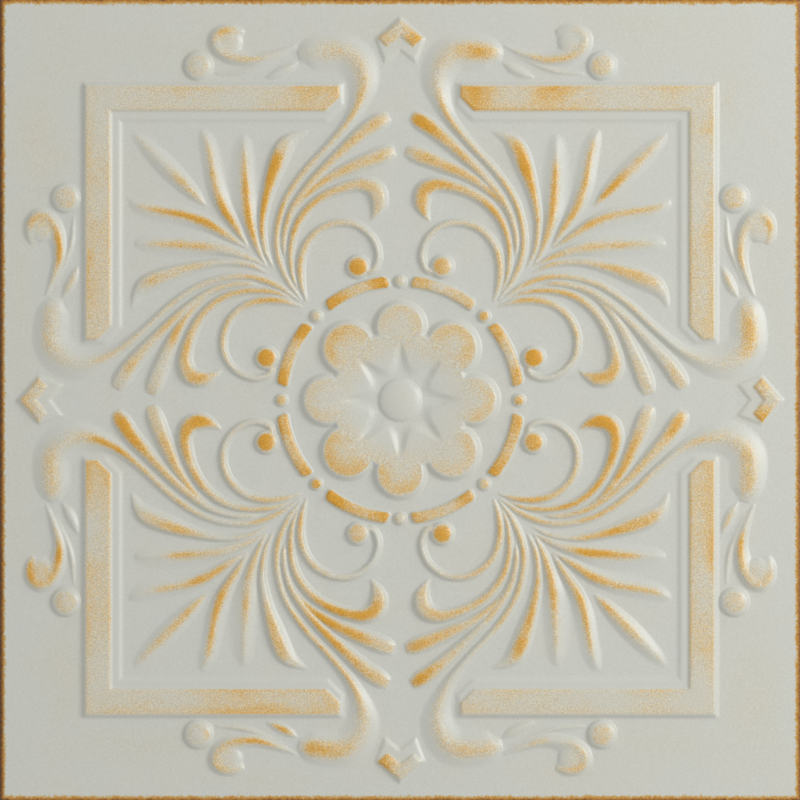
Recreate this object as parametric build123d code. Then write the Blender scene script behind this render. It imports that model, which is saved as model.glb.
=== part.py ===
from build123d import *
import os
from math import atan2, cos, degrees, hypot, radians, sin

# Square ceiling tile of polystyrene foam, moulded in one piece with its scroll ornament.
# It lies face up: x and y run along its sides, and z runs up from its flat back.

# Tile, in mm
SIDE = 500.0
THICKNESS = 5.0
EDGE_ROUND = 1.6
BORDER = 9.6
RELIEF = 4.4

# The ornament is drawn in mm from the tile's centre. The drawing is spread to reach the
# border, and raised so that its highest scroll stands RELIEF above the field.
DRAWN_REACH = 240.4
DRAWN_RELIEF = 4.4
spread = (SIDE / 2 - BORDER) / DRAWN_REACH
lift = RELIEF / DRAWN_RELIEF

# Rosette: eight petals round a star-shaped hollow with a boss in it
PETALS = 8
PETAL_CENTRE = 45.2
PETAL_RADIUS = 15.0
PETAL_SLOPE = 3.0
HUB_RADIUS = 42.5
RIM_RADIUS = 50.0
RIM_HEIGHT = 3.6
TIP_RADIUS = 60.0
TIP_HEIGHT = 3.0
INNER_RADIUS = 20.0
INNER_HEIGHT = 1.9
STAR_TIP = 36.0
STAR_TIP_SLOPE = 4.0
STAR_KNEE = 25.0
STAR_KNEE_HALF = 1.3
STAR_KNEE_SLOPE = 2.6
STAR_NOTCH = 16.5
STAR_NOTCH_SLOPE = 6.5
BOSS_RADIUS = 13.5
BOSS_HEIGHT = 3.2

# Ring of eight bars and eight beads round the rosette
RING_RADIUS = 74.0
RING_CREST = 5.2
RING_SLOPE = 1.1
RING_HEIGHT = 2.4
RING_START = 5.2
RING_END = 38.4
RING_CAP = 1.4
RING_STEPS = 5
RING_END_CREST = 2.0
RING_END_HEIGHT = 0.6
BEAD_RADIUS = 4.2
BEAD_HEIGHT = 2.6

# Corner frame: a flat bar with a low ledge along its inner side and round its ends
BAR_OUTER = 198.8
BAR_WIDTH = 20.2
BAR_END = 36.0
BAR_CHAMFER = 9.5
BAR_INNER_SLOPE = 1.5
BAR_OUTER_SLOPE = 3.2
BAR_HEIGHT = 2.8
LEDGE_WIDTH = 5.7
LEDGE_OVERHANG = 1.6
LEDGE_CHAMFER = 10.5
LEDGE_SLOPE = 1.3
LEDGE_HEIGHT = 1.2

# Finial in the middle of each side: a low arrowhead and a raised one on it. The depths and the
# second numbers of the points are measured inwards from the drawing's reach.
FINIAL_FOOT_DEPTH = 23.9
FINIAL_CREASE_DEPTH = 16.6
FINIAL_SHOULDER = (16.7, 14.8)
FINIAL_WING = (8.6, 23.2)
FINIAL_LEG = (10.2, 31.9)
FINIAL_STEP = 1.5
FINIAL_STEP_SLOPE = 1.8
FINIAL_HEIGHT = 3.2
FINIAL_SLOPE = 2.7

# Balls that the scrolls end in: x, y, foot radius and height
BALLS = [
    (26.3, 83.2, 7.7, 3.8),
    (125.9, 208.4, 9.4, 3.6),
]
BALL_SIDES = 14
BALL_LEVELS = (0, 38, 68)

# Leaves and scrolls, each from its root to its tip. A station gives x, y, the width of the
# crest, the widths of the slopes to its left and right, and the height above the field.
STROKES = {
    "tendril": [
        (58.5, 62.0, 0.8, 0.5, 0.3, 0.5),
        (61.6, 72.5, 2.3, 1.8, 1.1, 1.9),
        (62.3, 84.5, 2.8, 2.2, 1.5, 2.4),
        (59.0, 96.3, 2.8, 2.1, 1.6, 2.4),
        (51.0, 105.6, 2.7, 1.9, 1.7, 2.4),
        (39.5, 110.3, 2.6, 1.8, 1.8, 2.4),
        (27.3, 109.0, 2.4, 1.6, 1.8, 2.4),
        (17.6, 101.4, 2.3, 1.5, 1.8, 2.4),
        (13.6, 90.5, 2.3, 1.5, 1.8, 2.4),
        (16.4, 81.6, 2.2, 1.4, 1.7, 2.2),
        (23.0, 79.8, 1.8, 1.2, 1.4, 1.8),
    ],
    "comma leaf": [
        (63.6, 68.4, 0.7, 0.3, 0.25, 0.5),
        (67.3, 79.0, 1.9, 1.2, 0.9, 1.8),
        (68.1, 94.5, 2.3, 1.5, 1.1, 2.3),
        (64.2, 109.5, 3.0, 1.8, 1.4, 2.6),
        (54.8, 121.8, 3.3, 2.1, 1.7, 2.8),
        (41.5, 130.1, 3.8, 2.4, 2.1, 3.1),
        (25.5, 134.4, 5.2, 2.8, 2.6, 3.5),
        (15.9, 131.3, 7.2, 2.8, 3.0, 3.6),
        (13.3, 123.5, 6.6, 2.5, 2.7, 3.2),
        (15.8, 115.6, 2.6, 1.2, 1.3, 1.5),
        (18.2, 112.2, 0.7, 0.3, 0.35, 0.4),
    ],
    "short drop": [
        (65.6, 117.6, 0.6, 0.3, 0.3, 0.4),
        (59.4, 126.9, 2.0, 1.35, 1.35, 1.8),
        (45.0, 137.9, 3.4, 2.0, 2.0, 2.7),
        (27.0, 146.5, 4.8, 2.4, 2.4, 3.2),
        (10.8, 152.9, 5.4, 2.2, 2.2, 2.9),
        (3.6, 155.3, 1.4, 0.45, 0.45, 0.6),
    ],
    "long drop": [
        (72.0, 89.5, 0.6, 0.3, 0.25, 0.4),
        (72.6, 96.5, 1.9, 1.25, 1.0, 1.8),
        (71.5, 106.5, 2.3, 1.5, 1.2, 2.2),
        (66.6, 120.3, 2.7, 1.7, 1.3, 2.5),
        (54.5, 136.9, 3.0, 2.0, 1.6, 2.9),
        (39.0, 152.6, 3.7, 2.3, 2.0, 3.2),
        (23.5, 166.4, 5.3, 2.5, 2.4, 3.4),
        (13.0, 173.9, 5.4, 2.2, 2.1, 2.9),
        (7.4, 176.9, 1.4, 0.45, 0.45, 0.6),
    ],
    "scroll": [
        (61.6, 62.6, 0.7, 0.3, 0.4, 0.5),
        (70.0, 74.6, 2.0, 1.0, 1.4, 1.6),
        (76.0, 89.5, 2.4, 1.2, 1.8, 2.0),
        (76.6, 106.0, 2.4, 1.2, 1.8, 2.1),
        (71.4, 124.5, 2.4, 1.3, 1.8, 2.1),
        (59.8, 142.2, 2.4, 1.5, 1.9, 2.2),
        (43.5, 159.8, 2.4, 1.9, 2.4, 2.5),
        (31.3, 174.8, 2.5, 2.6, 3.3, 2.8),
        (24.9, 187.8, 4.0, 4.2, 5.0, 3.4),
        (22.3, 199.8, 8.0, 5.9, 6.6, 4.0),
        (25.8, 211.4, 10.4, 6.7, 7.0, 4.4),
        (36.0, 218.9, 11.0, 5.4, 6.1, 4.4),
        (54.6, 218.2, 11.2, 3.7, 4.7, 3.7),
        (62.6, 214.8, 6.0, 0.6, 0.75, 0.6),
    ],
    "hook": [
        (65.4, 220.6, 0.8, 0.7, 0.65, 0.5),
        (77.0, 215.9, 1.9, 2.3, 2.2, 1.7),
        (90.0, 212.6, 3.0, 3.2, 3.5, 2.6),
        (102.5, 213.4, 3.8, 3.4, 4.5, 3.0),
        (110.6, 220.0, 4.0, 3.2, 5.0, 3.2),
        (110.2, 227.4, 4.0, 2.8, 4.9, 3.1),
        (102.6, 230.2, 3.2, 2.1, 3.5, 2.4),
        (97.4, 229.6, 1.0, 0.45, 0.75, 0.5),
    ],
    "hook tail": [
        (114.0, 203.4, 0.5, 0.7, 0.7, 0.5),
        (95.0, 205.6, 1.0, 1.8, 1.8, 1.3),
        (71.5, 214.8, 0.5, 0.55, 0.55, 0.4),
    ],
    "small leaf": [
        (82.6, 201.2, 0.6, 0.9, 0.9, 0.6),
        (76.5, 203.6, 1.4, 2.2, 2.2, 1.5),
        (70.0, 206.8, 1.4, 2.2, 2.2, 1.5),
        (64.4, 210.2, 0.6, 0.6, 0.6, 0.4),
    ],
    "curled leaf": [
        (79.4, 83.2, 0.6, 0.3, 0.3, 0.4),
        (84.4, 94.5, 2.0, 1.3, 1.3, 1.7),
        (86.0, 111.0, 2.5, 1.8, 1.7, 2.3),
        (82.9, 129.5, 3.7, 3.1, 2.0, 2.8),
        (77.6, 146.8, 6.5, 4.1, 2.4, 3.4),
        (72.8, 158.0, 6.6, 3.8, 2.4, 3.3),
        (66.8, 163.8, 3.4, 2.3, 1.4, 2.0),
        (60.0, 166.2, 0.7, 0.45, 0.3, 0.4),
    ],
    "broad leaf": [
        (83.6, 83.6, 0.6, 0.3, 0.3, 0.4),
        (89.6, 96.5, 2.7, 1.4, 1.3, 1.9),
        (94.1, 112.0, 3.8, 2.9, 3.9, 2.8),
        (95.9, 128.0, 3.0, 6.2, 8.8, 3.1),
        (97.0, 146.5, 2.2, 6.6, 8.3, 2.9),
        (97.3, 158.5, 1.5, 4.0, 5.0, 1.8),
        (97.5, 164.6, 0.6, 0.9, 1.1, 0.4),
    ],
    "bent leaf": [
        (95.4, 96.2, 0.8, 0.4, 0.3, 0.5),
        (101.6, 106.4, 2.8, 1.8, 1.2, 2.1),
        (110.5, 120.4, 4.1, 4.0, 2.2, 2.9),
        (115.2, 133.8, 3.0, 6.3, 4.2, 3.1),
        (117.5, 146.0, 2.5, 7.0, 4.6, 3.0),
        (119.2, 156.0, 2.5, 5.7, 5.0, 2.5),
        (121.2, 163.0, 1.8, 3.3, 3.0, 1.5),
        (123.8, 168.2, 0.6, 0.9, 0.8, 0.4),
    ],
    "corner leaf": [
        (121.5, 121.5, 0.6, 0.55, 0.55, 0.4),
        (129.5, 129.5, 3.5, 3.1, 3.1, 2.2),
        (143.0, 143.0, 4.4, 4.9, 4.9, 3.1),
        (156.0, 156.0, 3.6, 4.1, 4.1, 2.6),
        (165.5, 165.5, 0.8, 0.65, 0.65, 0.4),
    ],
}


def drawn(x, y, up=0.0):
    """Place of a point of the drawing on the tile, up mm above the field."""
    return Vector(x * spread, y * spread, THICKNESS + up * lift)


def polar(radius, angle):
    """Point of the drawing at an angle in degrees from the y axis towards the x axis."""
    return radius * sin(radians(angle)), radius * cos(radians(angle))


def facet(*corners):
    """Flat face between corners."""
    return make_face(Polyline(*corners, close=True))


def section(station, before, after):
    """Corners of a stroke at one station, square to the line between its neighbours."""
    x, y, crest, left, right, height = station
    run = drawn(*after[:2]) - drawn(*before[:2])
    across = run.cross(Vector(0, 0, 1)).normalized() * spread
    top = Vector(0, 0, height * lift)
    middle = drawn(x, y)
    return [
        middle - across * (crest / 2 + left),
        middle - across * (crest / 2) + top,
        middle + across * (crest / 2) + top,
        middle + across * (crest / 2 + right),
    ]


def stroke(stations):
    """Leaf, scroll or bar: a flat-faceted ridge through its stations."""
    ends = [stations[0]] + stations + [stations[-1]]
    sections = [section(*place) for place in zip(stations, ends[:-2], ends[2:])]
    faces = [facet(*sections[0]), facet(*sections[-1])]
    for near, far in zip(sections, sections[1:]):
        faces.append(facet(near[0], near[3], far[3], far[0]))
        for low, high in ((0, 1), (1, 2), (2, 3)):
            faces.append(facet(near[low], near[high], far[high]))
            faces.append(facet(near[low], far[high], far[low]))
    return Solid(Shell(faces))


def mound(x, y, radius, height):
    """Domed ball or bead that stands on the field, with few sides because it repeats."""
    levels = [
        Pos(*drawn(x, y, height * sin(radians(angle))))
        * RegularPolygon(radius * spread * cos(radians(angle)), BALL_SIDES)
        for angle in BALL_LEVELS
    ]
    return loft(levels, ruled=True)


def terrace(foot, top, height):
    """Flat-topped form between a foot outline and a smaller top outline of the drawing."""
    faces = [
        facet(*[drawn(x, y, up) for x, y in outline]) for outline, up in ((foot, 0), (top, height))
    ]
    return loft(faces, ruled=True)


def frustum(x, y, radius, slope, height):
    """Round form with sloping sides, radius wide at its top."""
    body = Cone(
        (radius + slope) * spread,
        radius * spread,
        height * lift,
        align=(Align.CENTER, Align.CENTER, Align.MIN),
    )
    return Pos(*drawn(x, y)) * body


def star(tip, knee_half, notch):
    """Outline of a star with an arm up the middle of each petal, narrower past its knees."""
    pitch = 360 / PETALS
    knee = hypot(STAR_KNEE, knee_half)
    knee_angle = degrees(atan2(knee_half, STAR_KNEE))
    outline = []
    for petal in range(PETALS):
        middle = pitch * petal
        outline += [
            polar(knee, middle - knee_angle),
            polar(tip, middle),
            polar(knee, middle + knee_angle),
            polar(notch, middle + pitch / 2),
        ]
    return outline


def rosette():
    """Petals with a dished top, cut by the star-shaped hollow round the boss."""
    pitch = 360 / PETALS
    petals = frustum(0, 0, HUB_RADIUS, PETAL_SLOPE, RIM_HEIGHT)
    petals += [
        frustum(*polar(PETAL_CENTRE, pitch * petal), PETAL_RADIUS, PETAL_SLOPE, RIM_HEIGHT)
        for petal in range(PETALS)
    ]
    profile = Polyline(
        (0, 0),
        (0, INNER_HEIGHT * lift),
        (INNER_RADIUS * spread, INNER_HEIGHT * lift),
        (RIM_RADIUS * spread, RIM_HEIGHT * lift),
        (TIP_RADIUS * spread, TIP_HEIGHT * lift),
        ((TIP_RADIUS + PETAL_SLOPE) * spread, 0),
        close=True,
    )
    dish = Pos(0, 0, THICKNESS) * revolve(Plane.XZ * make_face(profile), Axis.Z)
    hollow = terrace(
        star(STAR_TIP, STAR_KNEE_HALF, STAR_NOTCH),
        star(
            STAR_TIP + STAR_TIP_SLOPE,
            STAR_KNEE_HALF + STAR_KNEE_SLOPE,
            STAR_NOTCH + STAR_NOTCH_SLOPE,
        ),
        RIM_HEIGHT,
    )
    boss = mound(0, 0, BOSS_RADIUS, BOSS_HEIGHT)
    return [(petals & dish) - hollow, boss]


def ring():
    """Bars of the ring with a bead between each two."""
    pitch = 360 / PETALS
    stretch = (RING_END - RING_START - 2 * RING_CAP) / RING_STEPS
    crest = (RING_CREST, RING_SLOPE, RING_SLOPE, RING_HEIGHT)
    end = (RING_END_CREST, RING_SLOPE, RING_SLOPE, RING_END_HEIGHT)
    stations = [(*polar(RING_RADIUS, RING_START), *end)]
    for step in range(RING_STEPS + 1):
        angle = RING_START + RING_CAP + stretch * step
        stations.append((*polar(RING_RADIUS, angle), *crest))
    stations.append((*polar(RING_RADIUS, RING_END), *end))
    bar = stroke(stations)
    bars = [Rot(0, 0, pitch * place) * bar for place in range(PETALS)]
    beads = [
        mound(*polar(RING_RADIUS, pitch * place), BEAD_RADIUS, BEAD_HEIGHT)
        for place in range(PETALS)
    ]
    return bars + beads


def frame_outline(end, inner, outer, chamfer):
    """Plan outline of half a corner frame, from its end to past the diagonal."""
    far = BAR_OUTER * 2
    return [
        (end, outer),
        (end, inner + chamfer),
        (end + chamfer, inner),
        (far, inner),
        (far, outer),
    ]


def corner_frame():
    """Half of one corner frame: its ledge and bar."""
    bar_inner = BAR_OUTER - BAR_WIDTH
    bar = terrace(
        frame_outline(BAR_END, bar_inner, BAR_OUTER, BAR_CHAMFER),
        frame_outline(
            BAR_END + BAR_INNER_SLOPE,
            bar_inner + BAR_INNER_SLOPE,
            BAR_OUTER - BAR_OUTER_SLOPE,
            BAR_CHAMFER,
        ),
        BAR_HEIGHT,
    )
    ledge_inner = bar_inner - LEDGE_WIDTH
    ledge_end = BAR_END - LEDGE_OVERHANG
    ledge = terrace(
        frame_outline(ledge_end, ledge_inner, BAR_OUTER, LEDGE_CHAMFER),
        frame_outline(
            ledge_end + LEDGE_SLOPE,
            ledge_inner + LEDGE_SLOPE,
            BAR_OUTER - LEDGE_SLOPE,
            LEDGE_CHAMFER,
        ),
        LEDGE_HEIGHT,
    )
    return [ledge, bar]


def shrunk(face, inset):
    """Face whose sides lie that far inside the face's own."""
    return offset(face, -inset * spread, kind=Kind.INTERSECTION).face()


def finial():
    """One finial: a low arrowhead with a raised one on it."""
    def pair(across, depth):
        return [drawn(side * across, DRAWN_REACH - depth) for side in (-1, 1)]

    apex = drawn(0, DRAWN_REACH)
    foot = drawn(0, DRAWN_REACH - FINIAL_FOOT_DEPTH)
    crease = drawn(0, DRAWN_REACH - FINIAL_CREASE_DEPTH)
    shoulders = pair(*FINIAL_SHOULDER)
    wings = pair(*FINIAL_WING)
    legs = pair(*FINIAL_LEG)
    step = facet(apex, shoulders[0], legs[0], foot, legs[1], shoulders[1])
    top = facet(apex, shoulders[0], wings[0], crease, wings[1], shoulders[1])
    forms = [(step, FINIAL_STEP_SLOPE, FINIAL_STEP), (top, FINIAL_SLOPE, FINIAL_HEIGHT)]
    return [
        loft([base, Pos(0, 0, height * lift) * shrunk(base, slope)], ruled=True)
        for base, slope, height in forms
    ]


def plate():
    """Flat tile with its rounded front edge."""
    body = Box(SIDE, SIDE, THICKNESS, align=(Align.CENTER, Align.CENTER, Align.MIN))
    return fillet(body.faces().sort_by(Axis.Z)[-1].edges(), EDGE_ROUND)


def tile():
    """Whole tile: an eighth of the scroll ornament mirrored round, then the rosette and ring."""
    wedge = extrude(make_face(Polyline((0, 0), (0, SIDE), (SIDE, SIDE), close=True)), SIDE)
    eighth = plate() + [stroke(stations) for stations in STROKES.values()]
    eighth += [mound(*ball) for ball in BALLS]
    eighth += corner_frame() + finial()
    eighth &= wedge
    quarter = eighth + mirror(eighth, about=Plane(origin=(0, 0, 0), z_dir=(1, -1, 0)))
    half = quarter + mirror(quarter, about=Plane.YZ)
    whole = half + mirror(half, about=Plane.XZ)
    return whole + rosette() + ring()


os.makedirs("parts", exist_ok=True)
export_step(tile(), "parts/ceiling_tile.step")
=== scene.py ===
from math import cos, hypot, pi, radians, sin, sqrt

import bpy
import numpy as np
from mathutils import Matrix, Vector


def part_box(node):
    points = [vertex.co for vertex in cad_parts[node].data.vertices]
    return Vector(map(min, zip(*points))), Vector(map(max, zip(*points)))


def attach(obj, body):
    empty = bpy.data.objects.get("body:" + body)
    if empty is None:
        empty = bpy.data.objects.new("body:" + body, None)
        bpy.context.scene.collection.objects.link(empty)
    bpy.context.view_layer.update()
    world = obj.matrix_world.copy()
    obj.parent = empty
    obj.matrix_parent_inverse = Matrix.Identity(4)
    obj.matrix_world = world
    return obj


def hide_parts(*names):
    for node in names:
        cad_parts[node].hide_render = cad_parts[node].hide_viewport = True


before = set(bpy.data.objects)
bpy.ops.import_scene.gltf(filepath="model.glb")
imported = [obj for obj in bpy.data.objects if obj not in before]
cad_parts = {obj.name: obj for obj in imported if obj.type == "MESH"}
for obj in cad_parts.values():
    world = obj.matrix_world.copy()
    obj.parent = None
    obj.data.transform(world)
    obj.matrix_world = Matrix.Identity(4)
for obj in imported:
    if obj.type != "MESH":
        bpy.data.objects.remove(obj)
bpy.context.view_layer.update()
low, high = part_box("ceiling_tile")

# The ornament is drawn in mm from the tile's centre, with x to the right and y up the photo.
# One eighth of it is drawn and mirrored. The surface is a height map made from these values,
# which becomes one closed mesh. A second map holds the gold wash, from 0 for none to 1 for full.
# Two numbers in brackets under a name with GOLD or RIM are the distances between which gold changes.
MM = 0.001
SIDE = (high.x - low.x) / MM
TOP = (high.z - low.z) / MM
RELIEF = 4.4
THICKNESS = TOP - RELIEF
EDGE_ROUND = 1.6
FLAT_HALF = SIDE / 2 - EDGE_ROUND

# Grid: cells across a quadrant, the angles at which its lines run round the edge, the fine chamfer at
# the tile's foot and the triangles that are kept
CELLS = 400
EDGE_ANGLES = (22, 45, 68, 90)
FOOT_CHAMFER = 0.4
MOST_TRIANGLES = 192000

# Rosette
PETALS = 8
PETAL_CENTRE = 45.6
PETAL_RADII = (13.7, 15.0)
PETAL_SLOPE = 4.2
HUB_RADIUS = 41.5
DISH_RADII = (0, 15.5, 21, 34, 50, 57, 61)
DISH_HEIGHTS = (0, 0.1, 1.7, 2.7, 3.5, 3.4, 3.0)
PETAL_PILLOW = 0.25
STAR_REACH = 38.0
STAR_START = 17.0
STAR_HALF = 6.6
STAR_TAPER = 1.5
BOSS_RADIUS = 13.5
BOSS_HEIGHT = 3.2
BOSS_GOLD = 0.12
STAR_FLOOR = 0.1
STAR_SLOPE = 2.2
STAR_TIP = 1.0
STAR_RUN_OUT = 17
PETAL_GOLD = 0.3
PETAL_GOLD_FROM = (22, 34)
PETAL_RIM_GOLD = 0.3
PETAL_RIM_GOLD_FROM = (38, 48)
PETAL_RIM = (1, 12)
PETAL_GOLD_EDGE = (-1.2, 1.0)

# Ring
RING_RADIUS = 74.0
RING_HALF = 2.9
RING_SLOPE = 1.3
RING_HEIGHT = 2.4
RING_START = 5.2
RING_END = 38.4
BEAD_RADIUS = 4.3
BEAD_HEIGHT = 2.6
BEAD_GOLD = 0.7
RING_END_FLAT = 1.2
RING_GOLD = 0.62
RING_END_GOLD = 0.3
RING_END_GOLD_FROM = (-16, -2)
RING_GOLD_EDGE = (0.1, 1.0)

# Corner frame
BAR_INNER = 178.6
BAR_OUTER = 198.8
BAR_END = 36.0
BAR_CHAMFER = 9.5
BAR_INNER_SLOPE = 2.3
BAR_OUTER_SLOPE = 3.2
BAR_HEIGHT = 2.8
LEDGE_INNER = 172.9
LEDGE_END = 34.4
LEDGE_CHAMFER = 10.5
LEDGE_ROUND = 5.0
LEDGE_SLOPE = 2.4
LEDGE_HEIGHT = 1.25
FRAME_SOFTEN = 0.6
BAR_GOLD = 0.34
BAR_END_GOLD = 0.12
BAR_END_GOLD_FADE = (55, 105)
BAR_RIM_GOLD = 0.18
BAR_INNER_RIM = (1.5, 5.5)
BAR_OUTER_RIM = (3.4, 8.4)
BAR_INNER_GOLD_EDGE = (0.9, 2.1)
BAR_OUTER_GOLD_EDGE = (2.2, 3.6)

# Finial
FINIAL_APEX = (0, 240.4)
FINIAL_SHOULDER = (16.7, 225.6)
FINIAL_WING = (8.6, 217.2)
FINIAL_CREASE = (0, 223.8)
FINIAL_LEG = (10.2, 208.5)
FINIAL_FOOT = (0, 216.5)
FINIAL_STEP = 1.4
FINIAL_STEP_SLOPE = 2.8
FINIAL_HEIGHT = 3.1
FINIAL_SLOPE = 4.0
FINIAL_STEP_GOLD = 0.06
FINIAL_GOLD = 0.42
FINIAL_SHOULDER_GOLD = 0.35
FINIAL_GOLD_EDGE = (-1.4, 1.6)
FINIAL_GOLD_INSET = 1.2
FINIAL_GOLD_SLOPE = 2.4

# Balls that the scrolls end in, and the mass that fills the hook's head: x, y, foot radius, height, gold
BALLS = [
    (26.3, 83.2, 7.7, 3.8, 0.95),
    (125.9, 208.4, 9.4, 3.6, 0.6),
    (107.0, 223.6, 8.6, 2.7, 0.3),
]
# Where the hook's head runs together into one mass: x, y, reach, width of the softening
HOOK_HEART = (106.2, 223.4, 6.4, 2.0)

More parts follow.
